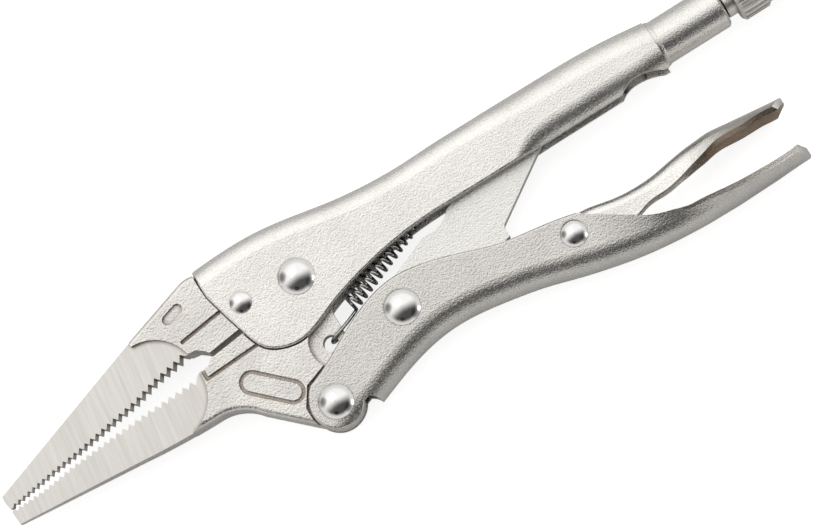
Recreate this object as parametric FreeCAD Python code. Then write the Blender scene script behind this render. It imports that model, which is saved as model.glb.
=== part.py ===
import FreeCAD, Part
import math
import os

# Long-nose locking pliers with a wire cutter, locked with the jaws closed, in millimetres.
# The tool lies on its side: X runs back along the adjusting screw, Y toward the upper handle
# and Z along the rivets. The origin is on the jaw pivot's axis, on the surface it rests on.

V = FreeCAD.Vector

# Widths, measured from the mid-plane unless the name says otherwise
CHEEK_HALF = 5.8          # outside of both handles' cheeks
SHEET = 2.0               # thickness of the handles' sheet steel
CAVITY_HALF = CHEEK_HALF - SHEET
SIDE_GAP = 0.1            # between a cheek and the forging that turns in it
TANG_HALF = CAVITY_HALF - SIDE_GAP
FORGING_HALF = 5.3        # jaws in front of the cheeks
FLAT_REAR_HALF = 3.9      # ground flats of the nose, at their rear
FLAT_TIP_HALF = 1.8       # and at the tip
LINK_HALF = 2.2
LEVER_SHEET = 1.5
LOWER_FLAT = 0.1          # half of the flat along the lower handle's spine
LOWER_BEND = CHEEK_HALF - LOWER_FLAT
LEVER_FLAT = 0.8
LEVER_GAP = 0.5           # between the lever and the cheeks it swings between
LEVER_BEND = CAVITY_HALF - LEVER_GAP - LEVER_FLAT
GRIP_HALF = CHEEK_HALF + 2.4   # more than half the width of the flared grips
TAIL_RISE = 2.2           # rivet tails below the cheek
MID = CHEEK_HALF + TAIL_RISE

# Pivots and their rivets
JAW_PIVOT = (0.0, 0.0)
HANDLE_PIVOT = (-7.8, -31.0)
LINK_PIVOT = (17.7, -20.1)
LEVER_PIVOT = (62.1, -27.3)
JAW_PIN = (-14.7, 1.8)
MAIN_SHAFT = 3.0          # shaft radius of the three large rivets
SMALL_SHAFT = 1.8         # shaft radius of the two small ones
RUNNING_FIT = 0.05        # between a shaft and a part that turns on it
PRESS_FIT = 0.0           # between a shaft and a part it is headed over
PIN_FLAT = 2.4            # radius of the flat under a large rivet's tail
SMALL_FLAT = 1.5
RIVET_RIM = 0.25          # straight rim under a dome and above a tail
PIVOT_DOME = (4.5, 2.3)   # radius and rise of the domes on the jaw and link pivots
HANDLE_DOME = (4.35, 2.3)
LEVER_DOME = (3.3, 1.8)
JAW_PIN_DOME = (2.7, 1.3)
PIVOT_TAIL = 4.4          # radii of the tails
HANDLE_TAIL = 4.3
LEVER_TAIL = 3.1
JAW_PIN_TAIL = 2.7

# Jaws
NOSE_END = -88.8
NOSE_ROOT = -33.0         # where the nose begins; the outlines ahead of it stretch with its length
DRAWN_END = -88.8         # the nose's end in the outlines as they are written below
BOSS = 8.5                # radius of the lower jaw's boss round its pivot
BOSS_GAP = 0.3            # between the boss and the fixed jaw's tang
LOBE = 6.5                # radius of the lower jaw round the handle pivot
CHEEK_LOBE = 6.7          # radius of the lower handle's cheek round it
LOBE_GAP = 0.4            # between the lobe and the handle's spine
FIXED_GAP = 0.2           # between the upper cheek's edge and the fixed jaw's shoulder
SHOULDER_GAP = 0.35       # between a cheek's edge and the moving jaw's shoulder
JAW_ROUND = 1.2           # rounding of the forgings' outer edges
EDGE_ROUND = 0.6          # rounding of the handles' sheared edges
TOOTH_COUNT = 31
TOOTH_DEPTH_NOSE = 0.75
TOOTH_DEPTH_THROAT = 1.4
TOOTH_GROWTH = 0.2        # how much wider than average the teeth are at the throat
GROOVE = 1.0              # width of the milled grooves beside the cutter
GROOVE_DEPTH = 1.2
RECESS_DEPTH = 0.9
OVAL = ((-22.7, -16.2), (-15.4, -23.4))   # line down the middle of the lower jaw's grooved oval
OVAL_OUTER = 6.2
OVAL_INNER = 4.2
FLAT_ARC = 11.0           # radius of the rear end of the ground flats
UPPER_FLAT_CENTRE = (-43.0, -4.0)
LOWER_FLAT_CENTRE = (-43.0, -8.0)

# Adjusting screw
SCREW_Y = 1.87            # height of its axis
SCREW_MAJOR = 4.0
SCREW_MINOR = 3.35
SCREW_PITCH = 1.25
SCREW_FIT = 0.05
SCREW_TIP = 74.9
NECK_RADIUS = 5.8
NECK_START = 104.8
NECK_END = 122.0
NECK_ROOT = 102.6         # where the neck begins inside the tube
NECK_ROOT_RADIUS = 6.1
COLLAR_CHAMFER = 0.8
FLUTE = 0.45              # radius of the knurl's grooves
WEB = 11.0                # width of the flat between the collar and the thumb head
COLLAR_START = 125.0
COLLAR_END = 133.0
COLLAR_RADIUS = 6.6
COLLAR_RIBS = 24
EYE_X = 141.0             # centre of the thumb head's hole
EYE_RADIUS = 7.2
EYE_HOLE = 3.6
EYE_HALF = 2.8

# Spring between the lower jaw's lug and the upper handle
LUG_HOLE = (-1.5, -17.9)
LUG_HOLE_RADIUS = 2.0
SPRING_START = (7.2, -12.0)
SPRING_ANGLE = 21.0
SPRING_RADIUS = 2.05      # to the middle of the wire
WIRE = 0.45               # radius of the wire
SPRING_PITCH = 2.0
SPRING_TURNS = 14
SPRING_STEPS = 10         # points in a turn
HOOK_PLAY = 0.1           # between the wire and the side of the hole it pulls on
LUG_HALF = 2.2
TAB = (41.5, 2.3)         # hole of the tab that anchors the spring inside the upper handle
TAB_HALF = 0.8
TAB_HOLE = 1.0

# Rounding of the upper handle, which turns from a deep channel into a tube toward the neck
TUBE_START = 50.0         # where it begins to round out
TUBE_LENGTH = 20.0        # and the length that takes
TUBE_WIDER = 1.2          # how much wider the tube is than the cheeks, on each side
TOP_BEND = (5.0, 6.2)     # outside bend radii of the channel and of the tube
LOW_BEND = (1.5, 6.3)
TUBE_BOTTOM = -6.3
MOUTH_REACH = 20.0        # depth of the cut that opens the channel downward

# Side outlines, as (x, y) points
UPPER_TOP = [(-21.3, 14.9), (-20, 15.2), (-10, 15.7), (0, 15.1), (10, 13.1), (20, 11.2),
             (32, 10.2), (45, 10.5), (60, 10.4), (80, 10.15), (92, 9.6), (103.4, 8.3), (NECK_START, 7.6)]
UPPER_EDGE = [(-21.2, 7.3), (-20, 2.3), (-18.1, -4.6), (-15.4, -10.8), (-10, -13.65), (-7.3, -14.0),
              (-4.6, -13.65), (4, -10.5), (10, -8.6), (20, -6.3), (30, -5.0), (40, -4.7)]
UPPER_LIP = [(91.5, -3.8), (93.5, -3.1), (95.5, -3.0), (98.2, -3.4), (101.8, -5.0)]
LOWER_SPINE = [(-18, -43.9), (-8, -40.2), (1.7, -36.6), (9, -33.9), (20, -30.9), (26, -30.5), (32, -30.7),
               (40, -31.9), (50, -34.1), (60, -37.1), (70, -39.6), (80, -41.2), (90, -42.0), (100, -42.1),
               (110, -41.8), (122, -41.2)]
LOWER_EDGE = [(-5.4, -22.1), (3.4, -17.5), (9, -15.0), (15, -13.2), (20, -12.7), (25, -13.2), (36.4, -16.4),
              (45.5, -19.5), (54.5, -21.1), (65, -23.2)]
LEVER_TOP = [(44, -25.0), (50, -24.2), (56, -23.5), (62, -23.0), (66, -22.9), (70, -23.35), (75, -24.65),
             (80, -25.15), (85, -25.05), (90, -24.3), (95, -23.6), (102.5, -23.2), (109.5, -24.1),
             (124, -26.0)]
UPPER_TEETH = [(-87.8, -10.5), (-75, -8.75), (-67, -7.9), (-55, -6.15), (-49, -5.3), (-43, -3.65),
               (-35, -2.5), (-33, -1.8)]
LOWER_TEETH = [(-87.8, -10.9), (-79, -10.65), (-71, -9.6), (-59, -8.7), (-49, -8.2), (-33.4, -7.8)]

# Cross-sections of the bent sheets, as (x, half of the flat, bend radius, wall length, lean in degrees)
LOWER_ROWS = [(-18, LOWER_FLAT, LOWER_BEND, 26, 0), (58, LOWER_FLAT, LOWER_BEND, 13, 0),
              (66, LOWER_FLAT, LOWER_BEND, 11, 0), (78, LOWER_FLAT, LOWER_BEND, 7.0, 9),
              (88, LOWER_FLAT + 0.1, LOWER_BEND, 2.4, 30), (96, LOWER_FLAT + 0.6, LOWER_BEND + 0.1, 2.9, 46),
              (104, LOWER_FLAT + 1.2, LOWER_BEND + 0.3, 1.9, 50),
              (112, LOWER_FLAT + 2.1, LOWER_BEND + 0.3, 1.3, 54),
              (122, LOWER_FLAT + 2.7, LOWER_BEND + 0.3, 1.0, 56)]
LOWER_STATIONS = [-18, -8, 2, 10, 18, 26, 34, 42, 50, 58, 66, 72, 78, 83, 88, 92, 96, 100, 104, 108, 112,
                  117, 122]
LEVER_ROWS = [(44, LEVER_FLAT, LEVER_BEND, 6.0, 0), (74, LEVER_FLAT, LEVER_BEND, 5.0, 0),
              (82, LEVER_FLAT + 0.2, LEVER_BEND + 0.3, 2.3, 2),
              (90, LEVER_FLAT + 0.5, LEVER_BEND + 0.7, 2.4, 6),
              (96, 1.5, 4.0, 2.3, 22), (100, 1.7, 4.9, 2.1, 34), (104, 1.8, 5.6, 1.9, 44),
              (109, 1.6, 6.6, 1.9, 50), (116, 2.0, 8.6, 0.9, 58), (124, 2.4, 10.5, 0.5, 62)]
LEVER_STATIONS = [44, 50, 56, 62, 68, 74, 78, 82, 86, 90, 93, 96, 99, 102, 105, 108, 111.5, 115, 119.5, 124]


def straight(p, q):
    return Part.makeLine(V(p[0], p[1], 0), V(q[0], q[1], 0))


def smooth(points):
    """An arc through three points, or a curve through more."""
    at = [V(p[0], p[1], 0) for p in points]
    if len(at) == 3:
        return Part.Arc(at[0], at[1], at[2]).toShape()
    curve = Part.BSplineCurve()
    curve.interpolate(at)
    return curve.toShape()


def outline(start, *steps):
    """Closed wire from the start. A step is a point for a line or a list of points for a curve."""
    edges = []
    here = start
    for step in steps:
        if isinstance(step, list):
            edges.append(smooth([here] + step))
            here = step[-1]
        else:
            edges.append(straight(here, step))
            here = step
    if math.dist(here, start) > 1e-6:
        edges.append(straight(here, start))
    return Part.Wire(edges)


def plate(wire, low, high):
    """A flat plate with the outline, between two heights."""
    face = Part.Face(wire)
    face.translate(V(0, 0, low))
    return face.extrude(V(0, 0, high - low))


def mid_plate(wire, half):
    return plate(wire, MID - half, MID + half)


def nose(points):
    """The points, with those ahead of the nose's root moved to suit its length."""
    stretch = (NOSE_ROOT - NOSE_END) / (NOSE_ROOT - DRAWN_END)
    moved = []
    for point in points:
        if isinstance(point, list):
            moved.append(nose(point))
        else:
            ahead = min(point[0] - NOSE_ROOT, 0.0)
            moved.append((point[0] + ahead * (stretch - 1), point[1]))
    return moved


def along(points, x):
    """Height of a line of points at x."""
    for (x0, y0), (x1, y1) in zip(points, points[1:]):
        if x <= x1:
            return y0 + (y1 - y0) * (x - x0) / (x1 - x0)
    return points[-1][1]


def pin(centre, radius, low, high):
    return Part.makeCylinder(radius, high - low, V(centre[0], centre[1], low))


def hole(centre, radius):
    return pin(centre, radius, MID - 20, MID + 20)


def rounded(shape, radius, wanted):
    """The shape with the edges whose middle point is wanted rounded off."""
    edges = []
    for edge in shape.Edges:
        middle = edge.valueAt((edge.FirstParameter + edge.LastParameter) / 2)
        if wanted(middle):
            edges.append(edge)
    return shape.makeFillet(radius, edges)


def on_face(point, half):
    return abs(abs(point.z - MID) - half) < 0.05


def turned(profile, base, direction):
    """Revolve (distance, radius) points about an axis from the base."""
    points = [V(d, r, 0) for d, r in profile]
    wire = Part.makePolygon(points + [points[0]])
    solid = Part.Face(wire).revolve(V(0, 0, 0), V(1, 0, 0), 360)
    turn = FreeCAD.Rotation(V(1, 0, 0), direction)
    solid.Placement = FreeCAD.Placement(V(*base), turn)
    return solid


def channel_section(x, spine, flat, bend, wall, lean, sheet, up):
    """Closed wire of a bent sheet: a flat, two bends and two walls that lean outward."""
    turn = math.radians(90 - lean)

    def side(radius):
        half = (flat, spine + up * (bend - radius))
        mid = (flat + radius * math.sin(turn / 2), spine + up * (bend - radius * math.cos(turn / 2)))
        end = (flat + radius * math.sin(turn), spine + up * (bend - radius * math.cos(turn)))
        rim = (end[0] + wall * math.cos(turn), end[1] + up * wall * math.sin(turn))
        return half, mid, end, rim

    def at(point, sign):
        return V(x, point[1], MID + sign * point[0])

    outer = side(bend)
    inner = side(bend - sheet)
    edges = []
    for half, mid, end, rim in (outer, inner):
        edges.append(Part.makeLine(at(half, -1), at(half, 1)))
        for sign in (-1, 1):
            edges.append(Part.Arc(at(half, sign), at(mid, sign), at(end, sign)).toShape())
            edges.append(Part.makeLine(at(end, sign), at(rim, sign)))
    for sign in (-1, 1):
        edges.append(Part.makeLine(at(outer[3], sign), at(inner[3], sign)))
    return Part.Wire(Part.__sortEdges__(edges))


def channel(rows, spine, stations, sheet, up):
    """Bent sheet through cross-sections worked out from the rows at each station."""
    sections = []
    for x in stations:
        flat, bend, wall, lean = [along([(row[0], row[k]) for row in rows], x) for k in (1, 2, 3, 4)]
        sections.append(channel_section(x, along(spine, x), flat, bend, wall, lean, sheet, up))
    return Part.makeLoft(sections, True, False)


def tube_section(x, top, bottom, half, top_bend, bottom_bend):
    """Closed wire of a rounded rectangle across the tool."""
    corners = [(top, top_bend, 1), (top, top_bend, -1), (bottom, bottom_bend, -1), (bottom, bottom_bend, 1)]
    edges = []
    ends = []
    for height, bend, sign in corners:
        away = 1 if height == bottom else -1
        level = V(x, height, MID + sign * (half - bend))
        side = V(x, height + away * bend, MID + sign * half)
        reach = bend * (1 - math.sqrt(0.5))
        middle = V(x, height + away * reach, MID + sign * (half - reach))
        edges.append(Part.Arc(level, middle, side).toShape())
        ends.append((level, side))
    edges.append(Part.makeLine(ends[0][0], ends[1][0]))
    edges.append(Part.makeLine(ends[1][1], ends[2][1]))
    edges.append(Part.makeLine(ends[2][0], ends[3][0]))
    edges.append(Part.makeLine(ends[3][1], ends[0][1]))
    return Part.Wire(Part.__sortEdges__(edges))


def upper_rows():
    """Stations of the upper handle: x, top, bottom, half width and the two bends."""
    rows = []
    for x in (-24, -14, -4, 6, 16, 26, 36, 46, 51, 56, 61, 66, 71, 78, 90, 98, 103.4):
        back = min(max((x - TUBE_START) / TUBE_LENGTH, 0.0), 1.0)
        ease = back * back * (3 - 2 * back)
        front = min(max((30.0 - x) / 54.0, 0.0), 1.0)
        bottom = TUBE_BOTTOM - 3.1 * (1 - ease) - 14 * front
        narrowing = 0.06 * max(x - 95, 0)
        half = CHEEK_HALF + TUBE_WIDER * ease - narrowing
        top = along(UPPER_TOP, max(x, UPPER_TOP[0][0]))
        upper_bend = TOP_BEND[0] + (TOP_BEND[1] - TOP_BEND[0]) * ease
        lower_bend = LOW_BEND[0] + (LOW_BEND[1] - LOW_BEND[0]) * ease
        rows.append((x, top, bottom, half, upper_bend, lower_bend))
    return rows


def upper_side():
    """Side outline of the upper handle."""
    top = UPPER_TOP[::-1]
    return outline(UPPER_TOP[0], UPPER_EDGE[0], UPPER_EDGE[1:], (59.5, -4.9), (90, -4.9),
                   UPPER_LIP, (104.8, -5.6), top[0], (103.4, 7.6), (103.4, 20), (-21.3, 20))


def upper_handle():
    """Bent-sheet channel with a curled rear and the neck that takes the screw."""
    rows = upper_rows()
    outer = Part.makeLoft([tube_section(*row) for row in rows], True, False)
    inner_rows = [(x, top - SHEET, bottom + SHEET, half - SHEET, upper - SHEET, max(lower - SHEET, 0.3))
                  for x, top, bottom, half, upper, lower in rows if x < 100]
    inner = Part.makeLoft([tube_section(*row) for row in inner_rows], True, False)
    mouth = Part.makeBox(130, MOUTH_REACH, 2 * CAVITY_HALF, V(-26, -MOUTH_REACH, MID - CAVITY_HALF))
    body = outer.common(mid_plate(upper_side(), 20)).cut(inner).cut(mouth)
    body = rounded(body, EDGE_ROUND, lambda p: on_face(p, CHEEK_HALF) and p.x < 46 and p.y < 13)
    body = body.fuse(neck()).cut(screw_bore()).fuse(spring_tab())
    for centre, radius in ((JAW_PIVOT, MAIN_SHAFT), (JAW_PIN, SMALL_SHAFT)):
        body = body.cut(hole(centre, radius + PRESS_FIT))
    return body


def spring_tab():
    """Tab under the roof of the handle that the spring hooks into."""
    x, y = TAB
    tab = Part.makeBox(4.0, 7.0, 2 * TAB_HALF, V(x - 2.0, y, MID - TAB_HALF))
    return tab.fuse(pin(TAB, 2.0, MID - TAB_HALF, MID + TAB_HALF)).cut(hole(TAB, TAB_HOLE))


def neck():
    step = NECK_START - NECK_ROOT
    length = NECK_END - NECK_ROOT
    profile = [(0, 0), (0, NECK_ROOT_RADIUS), (step - 0.8, NECK_ROOT_RADIUS), (step, NECK_RADIUS),
               (length - 0.6, NECK_RADIUS), (length, NECK_RADIUS - 0.6), (length, 0)]
    return turned(profile, (NECK_ROOT, SCREW_Y, MID), V(1, 0, 0))


def screw_bore():
    return Part.makeCylinder(SCREW_MAJOR + SCREW_FIT, 40, V(96, SCREW_Y, MID), V(1, 0, 0))


def teeth(points, side):
    """Zigzag along the gripping edge; side is +1 where the jaw is above it."""
    start = points[0][0]
    span = points[-1][0] - start
    zigzag = []
    for k in range(2 * TOOTH_COUNT + 1):
        u = k / (2.0 * TOOTH_COUNT)
        x = start + span * u * (1 - TOOTH_GROWTH * (1 - u))
        depth = TOOTH_DEPTH_NOSE + (TOOTH_DEPTH_THROAT - TOOTH_DEPTH_NOSE) * u
        lift = depth * side if k % 2 else 0.0
        zigzag.append((x, along(points, x) + lift))
    return zigzag


def flats(centre, side):
    """What grinding takes off both faces of a jaw's nose, thinning it toward the tip."""
    back = centre[0] + FLAT_ARC
    slope = (FLAT_REAR_HALF - FLAT_TIP_HALF) / (back - NOSE_END)
    far = NOSE_END - 4
    tools = []
    for sign in (-1, 1):
        wedge = Part.makePolygon([V(far, 0, MID + sign * (FLAT_TIP_HALF + slope * (far - NOSE_END))),
                                  V(back, 0, MID + sign * FLAT_REAR_HALF), V(back, 0, MID + sign * 9),
                                  V(far, 0, MID + sign * 9),
                                  V(far, 0, MID + sign * (FLAT_TIP_HALF + slope * (far - NOSE_END)))])
        slab = Part.Face(wedge).extrude(V(0, 60, 0))
        slab.translate(V(0, -40, 0))
        reach = outline((far, -40), (centre[0], -40), (centre[0], centre[1] - FLAT_ARC),
                        [(back, centre[1]), (centre[0], centre[1] + FLAT_ARC)], (centre[0], 30), (far, 30))
        tools.append(slab.common(mid_plate(reach, 12)))
    return tools


def beside(points, gap):
    """The points moved sideways, to the right of the way they run."""
    moved = []
    for k, (x, y) in enumerate(points):
        before = points[max(k - 1, 0)]
        after = points[min(k + 1, len(points) - 1)]
        dx = after[0] - before[0]
        dy = after[1] - before[1]
        length = math.hypot(dx, dy)
        moved.append((x + gap * dy / length, y - gap * dx / length))
    return moved


def shoulders(wire):
    """Space for a cheek on each side of a forging, outside its tang."""
    return [plate(wire, MID + TANG_HALF, MID + 12), plate(wire, MID - 12, MID - TANG_HALF)]


def upper_zone(gap):
    """Outline round the front of the upper handle's cheek."""
    edge = beside(UPPER_EDGE, gap)
    x = UPPER_TOP[0][0] - gap
    return outline((x, 22), (x, 14.2), edge[0], edge[1:], (edge[-1][0], 22))


def both_faces(wire, depth, half):
    """Pockets of one depth in both faces of a part of the given half width."""
    top = plate(wire, MID + half - depth, MID + half + 5)
    bottom = plate(wire, MID - half - 5, MID - half + depth)
    return top.fuse(bottom)


def slot_outline(start, end, width):
    """Closed obround round the line from start to end."""
    dx = end[0] - start[0]
    dy = end[1] - start[1]
    length = math.hypot(dx, dy)
    ux, uy = dx / length, dy / length
    r = width / 2.0
    a = (start[0] - uy * r, start[1] + ux * r)
    b = (end[0] - uy * r, end[1] + ux * r)
    c = (end[0] + uy * r, end[1] - ux * r)
    d = (start[0] + uy * r, start[1] - ux * r)
    far = (end[0] + ux * r, end[1] + uy * r)
    near = (start[0] - ux * r, start[1] - uy * r)
    return outline(a, b, [far, c], d, [near, a])


def fixed_jaw():
    """Upper jaw, held in the upper handle by its small rivet."""
    row = teeth(nose(UPPER_TEETH), 1)
    ring = BOSS + BOSS_GAP
    foot = (-math.sqrt(ring ** 2 - 2.2 ** 2), -2.2)
    heel = (-6.0, math.sqrt(ring ** 2 - 36))
    front = UPPER_TOP[0][0] - FIXED_GAP
    wire = outline(*nose([(DRAWN_END, -6.8), (-45.4, 7.55)]), (-25.4, 13.8), [(-24.2, 14.05), (front, 13.9)],
                   (front, 9.2), (-6.0, 9.2), heel, [(-ring, 0), foot], (-27.5, -4.5), (-28.5, -3.4),
                   (-30, -2.2), *row[::-1], *nose([(-88.6, -10.3), (DRAWN_END - 0.1, -8.5)]))
    jaw = mid_plate(wire, FORGING_HALF)
    upper_half = nose([(DRAWN_END, -9), (-45, 5), (-20, 12)])
    jaw = rounded(jaw, JAW_ROUND, lambda p: on_face(p, FORGING_HALF) and p.x < -23
                  and p.y > along(upper_half, p.x))
    for tool in shoulders(upper_zone(FIXED_GAP)) + flats(UPPER_FLAT_CENTRE, 1):
        jaw = jaw.cut(tool)
    groove = slot_outline((-31.8, 1.2), (-20.6, 2.6), GROOVE)
    recess = slot_outline((-32.1, 7.8), (-28.7, 8.8), 2.6)
    jaw = jaw.cut(both_faces(groove, GROOVE_DEPTH, FORGING_HALF))
    jaw = jaw.cut(both_faces(recess, RECESS_DEPTH, FORGING_HALF))
    return jaw.cut(hole(JAW_PIN, SMALL_SHAFT + PRESS_FIT))


def lower_zone(gap):
    """Outline round the lower handle's cheek where it laps the moving jaw."""
    x, y = HANDLE_PIVOT
    edge = beside(LOWER_EDGE[3::-1], gap)
    reach = CHEEK_LOBE + gap
    corner = reach * math.sqrt(0.5)
    return outline(edge[0], edge[1:], (-11.7, -23.9), (x - reach, -28.6), (x - reach, y),
                   [(x - corner, y - corner), (x, y - reach)], (15, y - reach))


def lower_jaw():
    """Moving jaw: nose, cutter bar, pivot boss, spring lug and the lobe on the handle's rivet."""
    row = teeth(nose(LOWER_TEETH), -1)
    slot_end = (-math.sqrt(BOSS ** 2 - 3.6 ** 2), -3.6)
    boss_end = (BOSS * math.cos(math.radians(38)), -BOSS * math.sin(math.radians(38)))
    x, y = HANDLE_PIVOT
    wire = outline(row[0], *row[1:], (-32.3, -7.1), (-29.6, -7.2), (-28.1, -5.9), slot_end,
                   [(0, BOSS), boss_end], [(3.9, -8.5), (2.7, -12)], (2.7, -16),
                   [(0.9, -22.0), (x + LOBE, y)], [(x, y - LOBE), (x - LOBE * 0.8, y - LOBE * 0.6)],
                   (-24.4, -23.8), *nose([[(-28.1, -20.5), (-33.5, -19.0)], [(-44, -18.7), (-55, -17.8)],
                                          (-88.4, -14.8), (-88.6, -11.2)]))
    jaw = mid_plate(wire, FORGING_HALF)
    lower_half = nose([(DRAWN_END, -14), (-60, -16.4), (-34, -18), (-20, -26)])
    jaw = rounded(jaw, JAW_ROUND, lambda p: on_face(p, FORGING_HALF) and p.x < -16
                  and p.y < along(lower_half, p.x))
    for tool in shoulders(upper_zone(SHOULDER_GAP)) + shoulders(lower_zone(SHOULDER_GAP)):
        jaw = jaw.cut(tool)
    lug = outline((-3.1, -13.0), [(-5.9, -14.8), (-6.8, -18), (-6.3, -21.0), (-5.0, -22.6)],
                  (8, -22), (8, -8))
    jaw = jaw.cut(both_faces(lug, FORGING_HALF - LUG_HALF, FORGING_HALF))
    for tool in flats(LOWER_FLAT_CENTRE, -1):
        jaw = jaw.cut(tool)
    for start, end in (((-31.2, -9.7), (-14.5, -9.0)), ((-31.3, -9.7), (-31.3, -6.0))):
        jaw = jaw.cut(both_faces(slot_outline(start, end, GROOVE), GROOVE_DEPTH, FORGING_HALF))
    outer = both_faces(slot_outline(*OVAL, OVAL_OUTER), RECESS_DEPTH, FORGING_HALF)
    inner = both_faces(slot_outline(*OVAL, OVAL_INNER), RECESS_DEPTH + 1, FORGING_HALF)
    jaw = jaw.cut(outer.cut(inner))
    for centre, radius in ((JAW_PIVOT, MAIN_SHAFT), (HANDLE_PIVOT, MAIN_SHAFT)):
        jaw = jaw.cut(hole(centre, radius + RUNNING_FIT))
    return jaw.cut(hole(LUG_HOLE, LUG_HOLE_RADIUS))


def lower_handle():
    """Bent-sheet channel, open toward the upper handle, with a flared grip."""
    body = channel(LOWER_ROWS, LOWER_SPINE, LOWER_STATIONS, SHEET, 1)
    x, y = HANDLE_PIVOT
    side = outline((x - 6.3, y + 2.2), [(-13.0, -26.5), (-11.2, -24.4)], LOWER_EDGE, (68.6, -26.0),
                   (78.6, -32.7), [(82, -34.3), (86, -35.5), (92, -36.2)], (124, -35.5), (124, -46),
                   (5, -46), (1.7, -36.6), [(0.8, -34.7), (-0.4, -33.7)], (-1.8, -34.2),
                   [(x, y - CHEEK_LOBE), (x - 6.3, y + 2.2)])
    body = body.common(mid_plate(side, 20))
    body = body.cut(pin(HANDLE_PIVOT, LOBE + LOBE_GAP, MID - CAVITY_HALF, MID + CAVITY_HALF))
    body = rounded(body, EDGE_ROUND, lambda p: on_face(p, CHEEK_HALF) and p.x < 74)
    body = body.common(rounded_end(120.6, 7.0, -60, -10))
    for centre, radius in ((HANDLE_PIVOT, MAIN_SHAFT), (LINK_PIVOT, MAIN_SHAFT), (LEVER_PIVOT, SMALL_SHAFT)):
        body = body.cut(hole(centre, radius + PRESS_FIT))
    return body


def rounded_end(x, radius, low, high):
    """A block across the tool whose end at x has rounded corners."""
    half = GRIP_HALF
    corner = radius * (1 - math.sqrt(0.5))

    def at(px, pz):
        return V(px, low, MID + pz)

    edges = [Part.makeLine(at(-60, -half), at(x - radius, -half)),
             Part.Arc(at(x - radius, -half), at(x - corner, -half + corner), at(x, -half + radius)).toShape(),
             Part.makeLine(at(x, -half + radius), at(x, half - radius)),
             Part.Arc(at(x, half - radius), at(x - corner, half - corner), at(x - radius, half)).toShape(),
             Part.makeLine(at(x - radius, half), at(-60, half)),
             Part.makeLine(at(-60, half), at(-60, -half))]
    return Part.Face(Part.Wire(edges)).extrude(V(0, high - low, 0))


def toggle_link():
    """Thick plate from the lower handle's rivet to the end of the screw."""
    x, y = LINK_PIVOT
    wire = outline((x - 4.4, y + 6.0), (20.9, -11.9), (30, -8.3), [(31.6, -7.9), (33.2, -8.1)],
                   [(35.5, -7.8), (37.7, -6.7), (39.1, -5.5), (40.5, -4.7)], (65.6, 5.4),
                   [(70.2, 4.9), (71.6, SCREW_Y)], [(71.2, -0.4), (69.6, -2.2)], (65, -5.5), (49.6, -15.6),
                   [(48.95, -16.3), (48.9, -17.0)], (48.9, -18.9), (20.5, y - 6.85),
                   [(x - 7.4, y), (x - 4.4, y + 6.0)])
    return mid_plate(wire, LINK_HALF).cut(hole(LINK_PIVOT, MAIN_SHAFT + RUNNING_FIT))


def release_lever():
    """Bent-sheet lever that pries the link out of lock, widening into a thumb paddle."""
    body = channel(LEVER_ROWS, LEVER_TOP, LEVER_STATIONS, LEVER_SHEET, -1)
    side = outline((52, -22), (124, -22), (124, -33), (74, -33), (73.5, -29.4),
                   [(62.1, -31.2), (53.4, -28.5)], [(52.4, -27.5), (52, -26.5)])
    body = body.common(mid_plate(side, 20))
    body = body.common(rounded_end(121.8, 6.5, -50, -10))
    return body.cut(hole(LEVER_PIVOT, SMALL_SHAFT + RUNNING_FIT))


def rivet(centre, shaft, head, tail, flat):
    """Domed rivet with a flat-ended tail on the underside."""
    dome, rise = head
    span = 2 * CHEEK_HALF
    bow = (dome ** 2 + rise ** 2) / (2 * rise)
    half_angle = math.asin(dome / bow) / 2
    z = MID + CHEEK_HALF
    x, y = centre
    crown = V(x + bow * math.sin(half_angle), y, z + rise - bow + bow * math.cos(half_angle))
    arc = Part.Arc(V(x, y, z + rise), crown, V(x + dome, y, z + RIVET_RIM)).toShape()
    low_rim = TAIL_RISE - RIVET_RIM
    bulge = V(x + flat + (tail - flat) * 0.72, y, TAIL_RISE * 0.33)
    foot = Part.Arc(V(x + tail, y, low_rim), bulge, V(x + flat, y, 0)).toShape()

    def leg(a, b):
        return Part.makeLine(a, b)

    edges = [arc, leg(V(x + dome, y, z + RIVET_RIM), V(x + dome, y, z)),
             leg(V(x + dome, y, z), V(x + shaft, y, z)),
             leg(V(x + shaft, y, z), V(x + shaft, y, z - span)),
             leg(V(x + shaft, y, z - span), V(x + tail, y, z - span)),
             leg(V(x + tail, y, z - span), V(x + tail, y, low_rim)), foot,
             leg(V(x + flat, y, 0), V(x, y, 0)), leg(V(x, y, 0), V(x, y, z + rise))]
    return Part.Face(Part.Wire(edges)).revolve(V(x, y, 0), V(0, 0, 1), 360)


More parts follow.
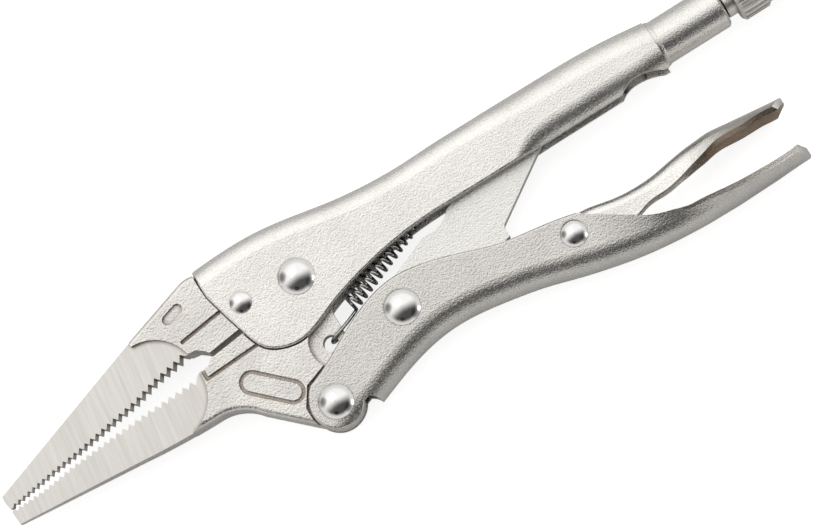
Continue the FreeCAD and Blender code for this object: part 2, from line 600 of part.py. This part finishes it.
def adjusting_screw():
    """Threaded rod with a knurled collar and a flat thumb head with a through-hole."""
    length = COLLAR_START - SCREW_TIP
    profile = [(0, 0), (0, 2.2), (0.9, SCREW_MINOR)]
    count = int((length - 6) / SCREW_PITCH)
    for k in range(count):
        x = 1.2 + k * SCREW_PITCH
        profile += [(x, SCREW_MINOR), (x + 0.42, SCREW_MAJOR), (x + 0.62, SCREW_MAJOR),
                    (x + 1.04, SCREW_MINOR)]
    profile += [(length - 3, SCREW_MINOR), (length - 2.5, SCREW_MAJOR), (length, SCREW_MAJOR), (length, 0)]
    rod = turned(profile, (SCREW_TIP, SCREW_Y, MID), V(1, 0, 0))
    wide = COLLAR_END - COLLAR_START
    low = COLLAR_RADIUS - COLLAR_CHAMFER
    collar = turned([(0, 0), (0, low), (COLLAR_CHAMFER, COLLAR_RADIUS),
                     (wide - COLLAR_CHAMFER, COLLAR_RADIUS), (wide, low), (wide, 0)],
                    (COLLAR_START, SCREW_Y, MID), V(1, 0, 0))
    for k in range(COLLAR_RIBS):
        angle = 2 * math.pi * k / COLLAR_RIBS
        base = V(COLLAR_START - 1, SCREW_Y + COLLAR_RADIUS * math.cos(angle),
                 MID + COLLAR_RADIUS * math.sin(angle))
        collar = collar.cut(Part.makeCylinder(FLUTE, wide + 2, base, V(1, 0, 0)))
    eye = pin((EYE_X, SCREW_Y), EYE_RADIUS, MID - EYE_HALF, MID + EYE_HALF)
    corner = V(COLLAR_END - 1, SCREW_Y - WEB / 2, MID - EYE_HALF)
    web = Part.makeBox(EYE_X - COLLAR_END + 1, WEB, 2 * EYE_HALF, corner)
    head = collar.fuse(eye).fuse(web).cut(hole((EYE_X, SCREW_Y), EYE_HOLE))
    return rod.fuse(head)


def hook(coil_end, centre, radius, half, back, sign):
    """Points of a hook, from the coil through a hole and back along the plate's other side."""
    reach = radius - WIRE - HOOK_PLAY
    pull = V(coil_end.x - centre[0], coil_end.y - centre[1], 0).normalize().multiply(reach)
    middle = V(centre[0], centre[1], MID).add(pull)
    rise = V(0, 0, sign * (half + WIRE + HOOK_PLAY))
    away = V(back[0], back[1], 0)
    tail = V(away).multiply(0.6)
    return [middle.add(rise).add(away), middle.add(rise), middle.sub(rise), middle.sub(rise).add(tail)]


def jaw_spring():
    """Extension spring between the lug of the lower jaw and the tab in the upper handle."""
    a = math.radians(SPRING_ANGLE)
    axis = V(math.cos(a), math.sin(a), 0)
    below = V(math.sin(a), -math.cos(a), 0)
    base = V(SPRING_START[0], SPRING_START[1], MID)
    coil = []
    for k in range(SPRING_TURNS * SPRING_STEPS + 1):
        turn = 2 * math.pi * k / SPRING_STEPS
        point = base.add(V(axis).multiply(SPRING_PITCH * k / SPRING_STEPS))
        point = point.add(V(below).multiply(SPRING_RADIUS * math.cos(turn)))
        coil.append(point.add(V(0, 0, -SPRING_RADIUS * math.sin(turn))))
    front = hook(coil[0], LUG_HOLE, LUG_HOLE_RADIUS, LUG_HALF, (4.2, 1.4), 1)
    rear = hook(coil[-1], TAB, TAB_HOLE, TAB_HALF, (-2.6, -1.6), -1)
    curve = Part.BSplineCurve()
    curve.interpolate(front[::-1] + coil + rear)
    start = curve.value(curve.FirstParameter)
    ring = Part.Wire(Part.makeCircle(WIRE, start, curve.tangent(curve.FirstParameter)[0]))
    return Part.Wire(curve.toShape()).makePipeShell([ring], True, False)


def all_parts():
    return {
        "upper_handle": upper_handle(),
        "fixed_jaw": fixed_jaw(),
        "lower_jaw": lower_jaw(),
        "lower_handle": lower_handle(),
        "toggle_link": toggle_link(),
        "release_lever": release_lever(),
        "jaw_pivot_rivet": rivet(JAW_PIVOT, MAIN_SHAFT, PIVOT_DOME, PIVOT_TAIL, PIN_FLAT),
        "handle_pivot_rivet": rivet(HANDLE_PIVOT, MAIN_SHAFT, HANDLE_DOME, HANDLE_TAIL, PIN_FLAT),
        "link_pivot_rivet": rivet(LINK_PIVOT, MAIN_SHAFT, PIVOT_DOME, PIVOT_TAIL, PIN_FLAT),
        "lever_rivet": rivet(LEVER_PIVOT, SMALL_SHAFT, LEVER_DOME, LEVER_TAIL, SMALL_FLAT),
        "fixed_jaw_rivet": rivet(JAW_PIN, SMALL_SHAFT, JAW_PIN_DOME, JAW_PIN_TAIL, SMALL_FLAT),
        "adjusting_screw": adjusting_screw(),
        "jaw_spring": jaw_spring(),
    }


def main():
    os.makedirs("parts", exist_ok=True)
    for name, shape in all_parts().items():
        shape.exportStep("parts/" + name + ".step")
        print(name, shape.ShapeType, len(shape.Solids), "solids, valid:", shape.isValid(),
              "volume: %.0f" % shape.Volume)


main()
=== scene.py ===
import math

import bpy
from mathutils import Matrix, Vector


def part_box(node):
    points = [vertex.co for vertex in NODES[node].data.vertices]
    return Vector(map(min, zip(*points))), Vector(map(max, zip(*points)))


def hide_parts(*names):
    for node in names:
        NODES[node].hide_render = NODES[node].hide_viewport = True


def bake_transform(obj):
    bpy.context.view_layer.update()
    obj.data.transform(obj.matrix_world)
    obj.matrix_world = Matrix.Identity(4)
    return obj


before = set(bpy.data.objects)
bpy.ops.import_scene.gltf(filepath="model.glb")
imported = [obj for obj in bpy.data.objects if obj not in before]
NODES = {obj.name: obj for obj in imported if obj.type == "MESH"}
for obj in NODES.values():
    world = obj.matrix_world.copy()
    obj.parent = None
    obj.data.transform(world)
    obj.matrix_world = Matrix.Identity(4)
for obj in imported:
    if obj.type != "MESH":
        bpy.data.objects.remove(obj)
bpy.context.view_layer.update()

# Looks of the locking pliers, in metres, in the frame of the CAD model: X back along the
# adjusting screw, Y toward the upper handle, Z up along the rivets.

RIVETS = ("jaw_pivot_rivet", "handle_pivot_rivet", "link_pivot_rivet", "lever_rivet", "fixed_jaw_rivet")
MM = 0.001

# Places read from the frame
jaw_low, jaw_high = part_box("lower_jaw")
MID_Z = (jaw_low.z + jaw_high.z) / 2        # mid-plane of the tool
CHEEK_HALF = 5.8 * MM
CHEEK_Z = MID_Z + CHEEK_HALF                # outside of the handles' cheeks

# Camera
VIEW_CENTRE = Vector((24.1 * MM, -11.9 * MM, CHEEK_Z))
VIEW_TILT = 9.0                             # degrees off the rivets' axis, toward the lower handle
VIEW_ROLL = 32.2                            # degrees of the screw's axis above the picture's base
VIEW_WIDTH = 195.9 * MM                     # width of the view at the cheeks
LENS = 200.0
SENSOR = 36.0
NEAR_CLIP = 0.01

# Light levels of the surroundings
OVERHEAD = 1.12                             # on the upper handle's side
CAMERA_SIDE = 0.08                          # on the lower handle's side, toward which the camera leans
SOFTBOX_EDGE = (-0.50, 0.28)                # Y of the directions between which it brightens
HORIZON = 0.82                              # level round the horizon
HORIZON_BAND = (0.20, 0.52)                 # sines of the heights between which the horizon's level ends
BACKDROP = 0.92                             # what the camera sees past the floor
SKY_TINT = (1.0, 0.995, 0.985, 1)

# Darker spots: direction, cosine of the angle to the spot's edge, share of the light left in its middle
DARK_SPOTS = (
    ((-0.45, -0.72, 0.53), 0.975, 0.15),
    ((-0.80, 0.50, 0.33), 0.90, 0.25),
    ((0.55, -0.75, 0.37), 0.90, 0.3),
)

# Floor
FLOOR_HALF = 2.5
FLOOR_COLOUR = (0.62, 0.62, 0.615, 1)
FLOOR_ROUGH = 0.9
FLOOR_SHINE = 0.1
FLOOR_SEEN = 0.80                           # light it gives off where the camera sees it
FLOOR_GLOW = 0.10                           # and where the tool reflects it

# Metals
NICKEL = (0.97, 0.945, 0.905)
LOWER_NICKEL_SHADED = (0.80, 0.775, 0.74)          # the same nickel darkened: painted shade on the lower handle
LINK_NICKEL = (1.0, 0.985, 0.95)
CAST = (0.90, 0.87, 0.83)                   # plating on the rough forgings
GROUND_STEEL = (0.84, 0.81, 0.77)           # ground faces of the nose
RIVET_STEEL = (0.88, 0.87, 0.855)
WIRE_DARK = (0.34, 0.34, 0.34)
WIRE_LIGHT = (0.58, 0.58, 0.575)
UNDERSIDE_SHADE = (0.34, 0.25, 0.18)              # painted brown shade on faces of a bent sheet turned toward the lower handle
CORNER_SHADE_BROWN = (0.24, 0.175, 0.12)                 # painted brown shade in the corners

# Grain and painted corner shade; lengths in millimetres
GRAIN = 0.44                                # of the blasted plating
CAST_DEPTH = 0.15                           # of the forgings' skin
SCRATCH_DEPTH = 0.002
WIRE_DEPTH = 0.004
CORNER_SHADE_REACH = 1.6                           # how far a corner darkens its surroundings with painted shade
CORNER_SHADE_AMOUNT = 0.95                         # share of the painted shade in the deepest corners

# The nose's ground faces
GROUND_FACING = 0.985                       # least Z of a ground face's normal
GROUND_HALF = 4.2                           # they lie nearer than this to the mid-plane, in millimetres
GROUND_ROOT = -31.0                         # and ahead of this X, in millimetres
LINE_TURN = 8                               # degrees that the grinding lines lean
LINE_DEPTH = 0.07                           # of the lines, as a share of the forgings' skin
FINE_SHARE = 0.35                           # of the fine grain in that skin


# ---------------------------------------------------------------- node trees

class Nodes:
    """Short calls for building a node tree."""

    def __init__(self, tree):
        self.tree = tree

    def add(self, kind, inputs=(), **settings):
        """A new node with its settings; an input that is a socket is linked, any other is set."""
        node = self.tree.nodes.new(kind)
        for key, value in settings.items():
            setattr(node, key, value)
        for socket, value in dict(inputs).items():
            if hasattr(value, "is_linked"):
                self.tree.links.new(value, node.inputs[socket])
            else:
                node.inputs[socket].default_value = value
        return node

    def math(self, operation, a, b=0.0):
        return self.add("ShaderNodeMath", {0: a, 1: b}, operation=operation).outputs[0]

    def weigh(self, a, share, b):
        """Share of a, and the rest of b."""
        return self.math("ADD", self.math("MULTIPLY", a, share), self.math("MULTIPLY", b, 1.0 - share))

    def mix(self, factor, first, second):
        """The first value at factor 0, the second at factor 1."""
        return self.add("ShaderNodeMix", {0: factor, 2: first, 3: second}, data_type="FLOAT").outputs[0]

    def spread(self, value, span, onto=(0.0, 1.0), curve="LINEAR"):
        """The value, with the ends of span mapped onto another pair."""
        inputs = {"Value": value, "From Min": span[0], "From Max": span[1]}
        inputs |= {"To Min": onto[0], "To Max": onto[1]}
        return self.add("ShaderNodeMapRange", inputs, interpolation_type=curve).outputs["Result"]


class Metal(Nodes):
    """A metal whose pattern is fixed to its piece."""

    def __init__(self, name):
        self.material = bpy.data.materials.new(name)
        self.material.use_nodes = True
        super().__init__(self.material.node_tree)
        self.shader = self.tree.nodes["Principled BSDF"]
        self.shader.inputs["Metallic"].default_value = 1.0

    def link(self, output, socket):
        self.tree.links.new(output, self.shader.inputs[socket])

    def place(self, scale=(1, 1, 1), turn=0.0):
        """Coordinates on the piece, in millimetres at scale 1, turned about Z by degrees."""
        where = self.add("ShaderNodeTexCoord").outputs["Object"]
        size = tuple(1000.0 * s for s in scale)
        turned = self.add("ShaderNodeMapping", {"Vector": where, "Rotation": (0, 0, math.radians(turn))})
        return self.add("ShaderNodeMapping", {"Vector": turned.outputs[0], "Scale": size}).outputs[0]

    def facing(self):
        """X, Y and Z of the surface's normal on the piece."""
        normal = self.add("ShaderNodeTexCoord").outputs["Normal"]
        return self.add("ShaderNodeSeparateXYZ", {"Vector": normal}).outputs

    def noise(self, where, per_mm, detail, rough):
        """Noise with about per_mm cells in a millimetre."""
        inputs = {"Vector": where, "Scale": per_mm, "Detail": detail, "Roughness": rough}
        return self.add("ShaderNodeTexNoise", inputs).outputs["Fac"]

    def colour(self, factor, first, second, blend="MIX"):
        """The first colour at factor 0; the second, or the blend with it, at factor 1."""
        inputs = {0: factor, 6: opaque(first), 7: opaque(second)}
        return self.add("ShaderNodeMix", inputs, data_type="RGBA", blend_type=blend).outputs[2]

    def bump(self, height, depth):
        """A normal for a height, depth millimetres deep."""
        inputs = {"Height": height, "Distance": depth * MM, "Strength": 1.0}
        return self.add("ShaderNodeBump", inputs).outputs[0]


def opaque(colour):
    """A colour with its alpha, or the socket that gives one."""
    return colour if hasattr(colour, "is_linked") else (*colour, 1)


def dimmed(colour, share):
    return tuple(share * c for c in colour)


# ---------------------------------------------------------------- stage

def camera():
    tilt = math.radians(VIEW_TILT)
    roll = math.radians(VIEW_ROLL)
    toward = Vector((0, -math.sin(tilt), math.cos(tilt)))
    across = Vector((0, math.cos(tilt), math.sin(tilt)))
    along = Vector((1, 0, 0))
    right = math.cos(roll) * along - math.sin(roll) * across
    up = math.sin(roll) * along + math.cos(roll) * across
    data = bpy.data.cameras.new("camera")
    data.lens = LENS
    data.sensor_width = SENSOR
    data.clip_start = NEAR_CLIP
    eye = bpy.data.objects.new("camera", data)
    bpy.context.scene.collection.objects.link(eye)
    distance = VIEW_WIDTH * LENS / SENSOR
    turn = Matrix((right, up, toward)).transposed().to_4x4()
    eye.matrix_world = Matrix.Translation(VIEW_CENTRE + toward * distance) @ turn
    bpy.context.scene.camera = eye


def softbox(name, place, aim, size, power):
    data = bpy.data.lights.new(name, "AREA")
    data.shape = "RECTANGLE"
    data.size, data.size_y = size
    data.energy = power
    box = bpy.data.objects.new(name, data)
    bpy.context.scene.collection.objects.link(box)
    direction = (Vector(aim) - Vector(place)).normalized()
    turn = direction.to_track_quat("-Z", "Y").to_matrix().to_4x4()
    box.matrix_world = Matrix.Translation(Vector(place)) @ turn
    box.visible_camera = False


def floor():
    """White sweep: bright where the camera sees it, plainer in the tool's reflections."""
    mesh = bpy.data.meshes.new("floor")
    corners = [(-1, -1), (1, -1), (1, 1), (-1, 1)]
    mesh.from_pydata([(x * FLOOR_HALF, y * FLOOR_HALF, 0) for x, y in corners], [], [(0, 1, 2, 3)])
    ground = bpy.data.objects.new("floor", mesh)
    bpy.context.scene.collection.objects.link(ground)
    material = bpy.data.materials.new("floor")
    material.use_nodes = True
    n = Nodes(material.node_tree)
    shader = n.tree.nodes["Principled BSDF"]
    shader.inputs["Base Color"].default_value = FLOOR_COLOUR
    shader.inputs["Roughness"].default_value = FLOOR_ROUGH
    shader.inputs["Specular IOR Level"].default_value = FLOOR_SHINE
    shader.inputs["Emission Color"].default_value = (1, 1, 1, 1)
    seen = n.add("ShaderNodeLightPath").outputs["Is Camera Ray"]
    glow = n.spread(seen, (0.0, 1.0), (FLOOR_GLOW, FLOOR_SEEN))
    n.tree.links.new(glow, shader.inputs["Emission Strength"])
    mesh.materials.append(material)


def surroundings():
    """Bright over the upper handle's side, dark over the lower handle's, mid-grey round the horizon."""
    world = bpy.data.worlds.new("world")
    world.use_nodes = True
    n = Nodes(world.node_tree)
    toward = n.add("ShaderNodeTexCoord").outputs["Generated"]
    axes = n.add("ShaderNodeSeparateXYZ", {"Vector": toward}).outputs
    above = n.spread(axes["Y"], SOFTBOX_EDGE, (CAMERA_SIDE, OVERHEAD), "SMOOTHSTEP")
    height = n.spread(axes["Z"], HORIZON_BAND, curve="SMOOTHSTEP")
    level = n.mix(height, HORIZON, above)
    for direction, edge, left in DARK_SPOTS:
        near = n.add("ShaderNodeVectorMath", {0: toward, 1: direction}, operation="DOT_PRODUCT")
        shade = n.spread(near.outputs["Value"], (edge, 1.0), (1.0, left), "SMOOTHSTEP")
        level = n.math("MULTIPLY", level, shade)
    seen = n.add("ShaderNodeLightPath").outputs["Is Camera Ray"]
    background = n.tree.nodes["Background"]
    background.inputs["Color"].default_value = SKY_TINT
    n.tree.links.new(n.mix(seen, level, BACKDROP), background.inputs["Strength"])
    bpy.context.scene.world = world


def lights():
    softbox("overhead", place=(-0.15, 0.55, 1.0), aim=(0.02, -0.01, 0), size=(0.9, 0.7), power=0.35)
    softbox("right_strip", place=(1.0, -0.62, 0.16), aim=(0.02, 0, 0), size=(0.34, 0.30), power=0.55)
    bpy.context.scene.view_settings.view_transform = "Standard"


# ---------------------------------------------------------------- materials

def painted_corner_shade(n, colour):
    """The colour, browned and darkened in corners: painted shade."""
    # ambient occlusion paints brown shade into corners, creases and recesses
    corner = n.add("ShaderNodeAmbientOcclusion", {"Distance": CORNER_SHADE_REACH * MM}, samples=8)
    shade_share = n.spread(corner.outputs["AO"], (0.32, 0.86), (CORNER_SHADE_AMOUNT, 0.0))
    return n.colour(shade_share, colour, CORNER_SHADE_BROWN, blend="MULTIPLY")


def satin_nickel(name, base=NICKEL, rough=0.25, depth=0.11, underside_shade=0.0):
    """Plated steel, its blasted grain depth millimetres deep, with painted brown shade, up to the given
    share, on what faces the lower handle.
    """
    n = Metal(name)
    where = n.place()
    fine = n.noise(where, 1.0 / GRAIN, detail=2.0, rough=0.62)
    patches = n.noise(where, 0.09, detail=3.0, rough=0.55)
    specks = n.noise(where, 1.6 / GRAIN, detail=2.0, rough=0.7)
    tone = n.spread(n.weigh(fine, 0.65, patches), (0.32, 0.68))
    body = n.colour(tone, dimmed(base, 0.74), base)
    pits = n.spread(specks, (0.56, 0.74), (0.0, 0.7))
    plated = n.colour(pits, body, dimmed(base, 0.58))
    if underside_shade:
        # painted shade: faces turned toward the dark lower-handle side are browned
        underside_share = n.spread(n.facing()["Y"], (-0.50, -0.05), (underside_shade, 0.0))
        plated = n.colour(underside_share, plated, UNDERSIDE_SHADE)
    # painted brown shade in the corners
    n.link(painted_corner_shade(n, plated), "Base Color")
    n.link(n.spread(n.weigh(fine, 0.5, patches), (0.3, 0.7), (rough - 0.05, rough + 0.07)), "Roughness")
    n.link(n.bump(fine, depth), "Normal")
    return n.material


def polished(name, rough=0.12):
    """Tumbled, bright rivet steel with faint scratches."""
    n = Metal(name)
    smears = n.noise(n.place(), 0.5, detail=3.0, rough=0.6)
    scratch = n.noise(n.place(scale=(6.0, 0.8, 6.0), turn=35), 1.0, detail=2.0, rough=0.6)
    tone = n.spread(smears, (0.3, 0.7))
    n.link(n.colour(tone, dimmed(RIVET_STEEL, 0.92), RIVET_STEEL), "Base Color")
    n.link(n.spread(smears, (0.3, 0.7), (rough - 0.04, rough + 0.07)), "Roughness")
    n.link(n.bump(scratch, SCRATCH_DEPTH), "Normal")
    return n.material


def ground_faces(n, where):
    """1 on the ground faces of the nose, 0 on the rough forging."""
    split = n.add("ShaderNodeSeparateXYZ", {"Vector": where}).outputs
    flat = n.math("GREATER_THAN", n.math("ABSOLUTE", n.facing()["Z"]), GROUND_FACING)
    off_mid = n.math("ABSOLUTE", n.math("SUBTRACT", split["Z"], MID_Z / MM))
    thin = n.math("LESS_THAN", off_mid, GROUND_HALF)
    ahead = n.math("LESS_THAN", split["X"], GROUND_ROOT)
    return n.math("MULTIPLY", n.math("MULTIPLY", flat, thin), ahead)


def ground_forging(name):
    """Blasted forging whose nose faces are ground, with the grinding lines across the nose."""
    n = Metal(name)
    where = n.place()
    ground = ground_faces(n, where)
    cast = n.noise(where, 1.9, detail=2.0, rough=0.60)
    fine = n.noise(where, 3.0, detail=2.0, rough=0.6)
    patches = n.noise(where, 0.12, detail=3.0, rough=0.5)
    lines = n.noise(n.place((4.2, 0.10, 1.0), LINE_TURN), 1.0, detail=3.0, rough=0.65)
    streaks = n.noise(n.place((1.1, 0.05, 0.5), LINE_TURN), 1.0, detail=2.0, rough=0.5)

    tone = n.spread(n.weigh(cast, 0.5, patches), (0.35, 0.65))
    rough_colour = n.colour(tone, dimmed(CAST, 0.76), CAST)
    line_tone = n.spread(n.weigh(lines, 0.6, streaks), (0.35, 0.65))
    ground_colour = n.colour(line_tone, dimmed(GROUND_STEEL, 0.74), dimmed(GROUND_STEEL, 0.92))
    # painted brown shade in the corners of the ground and rough faces
    n.link(painted_corner_shade(n, n.colour(ground, rough_colour, ground_colour)), "Base Color")

    rough_skin = n.spread(cast, (0.3, 0.7), (0.24, 0.36))
    lined_skin = n.spread(lines, (0.3, 0.7), (0.24, 0.38))
    n.link(n.mix(ground, rough_skin, lined_skin), "Roughness")

    skin = n.math("ADD", cast, n.math("MULTIPLY", fine, FINE_SHARE))
    height = n.mix(ground, skin, n.math("MULTIPLY", lines, LINE_DEPTH))
    n.link(n.bump(height, CAST_DEPTH), "Normal")
    return n.material


def spring_wire(name):
    """Dark, smooth spring wire with smears of oil."""
    n = Metal(name)
    where = n.place()
    smears = n.noise(where, 0.9, detail=3.0, rough=0.6)
    n.link(n.colour(n.spread(smears, (0.35, 0.65)), WIRE_DARK, WIRE_LIGHT), "Base Color")
    n.link(n.spread(smears, (0.3, 0.7), (0.08, 0.16)), "Roughness")
    n.link(n.bump(n.noise(where, 6.0, detail=2.0, rough=0.5), WIRE_DEPTH), "Normal")
    return n.material


def coat(node, material):
    """Give a CAD node its material."""
    mesh = NODES[node].data
    mesh.materials.clear()
    mesh.materials.append(material)


# ---------------------------------------------------------------- pieces

def spring():
    """The spring as a piece of its own: a copy of the CAD spring's mesh in its own wire material, with the
    CAD spring hidden.
    """
    coil = bpy.data.objects.new("spring_coil", NODES["jaw_spring"].data.copy())
    bpy.context.scene.collection.objects.link(coil)
    coil.data.materials.clear()
    coil.data.materials.append(spring_wire("spring_coil"))
    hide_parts("jaw_spring")
    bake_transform(coil)


def finish_cad_nodes():
    coat("upper_handle", satin_nickel("upper_handle"))
    # darker copy of the nickel: painted shade on the lower handle
    coat("lower_handle", satin_nickel("lower_handle", base=LOWER_NICKEL_SHADED, depth=0.15))
    coat("release_lever", satin_nickel("release_lever", rough=0.24, underside_shade=0.9))
    coat("toggle_link", satin_nickel("toggle_link", base=LINK_NICKEL, rough=0.32, depth=0.12))
    coat("adjusting_screw", satin_nickel("adjusting_screw", rough=0.3))
    coat("fixed_jaw", ground_forging("fixed_jaw"))
    coat("lower_jaw", ground_forging("lower_jaw"))
    for name in RIVETS:
        coat(name, polished(name))
    coat("jaw_spring", spring_wire("jaw_spring"))


camera()
floor()
surroundings()
lights()
finish_cad_nodes()
spring()
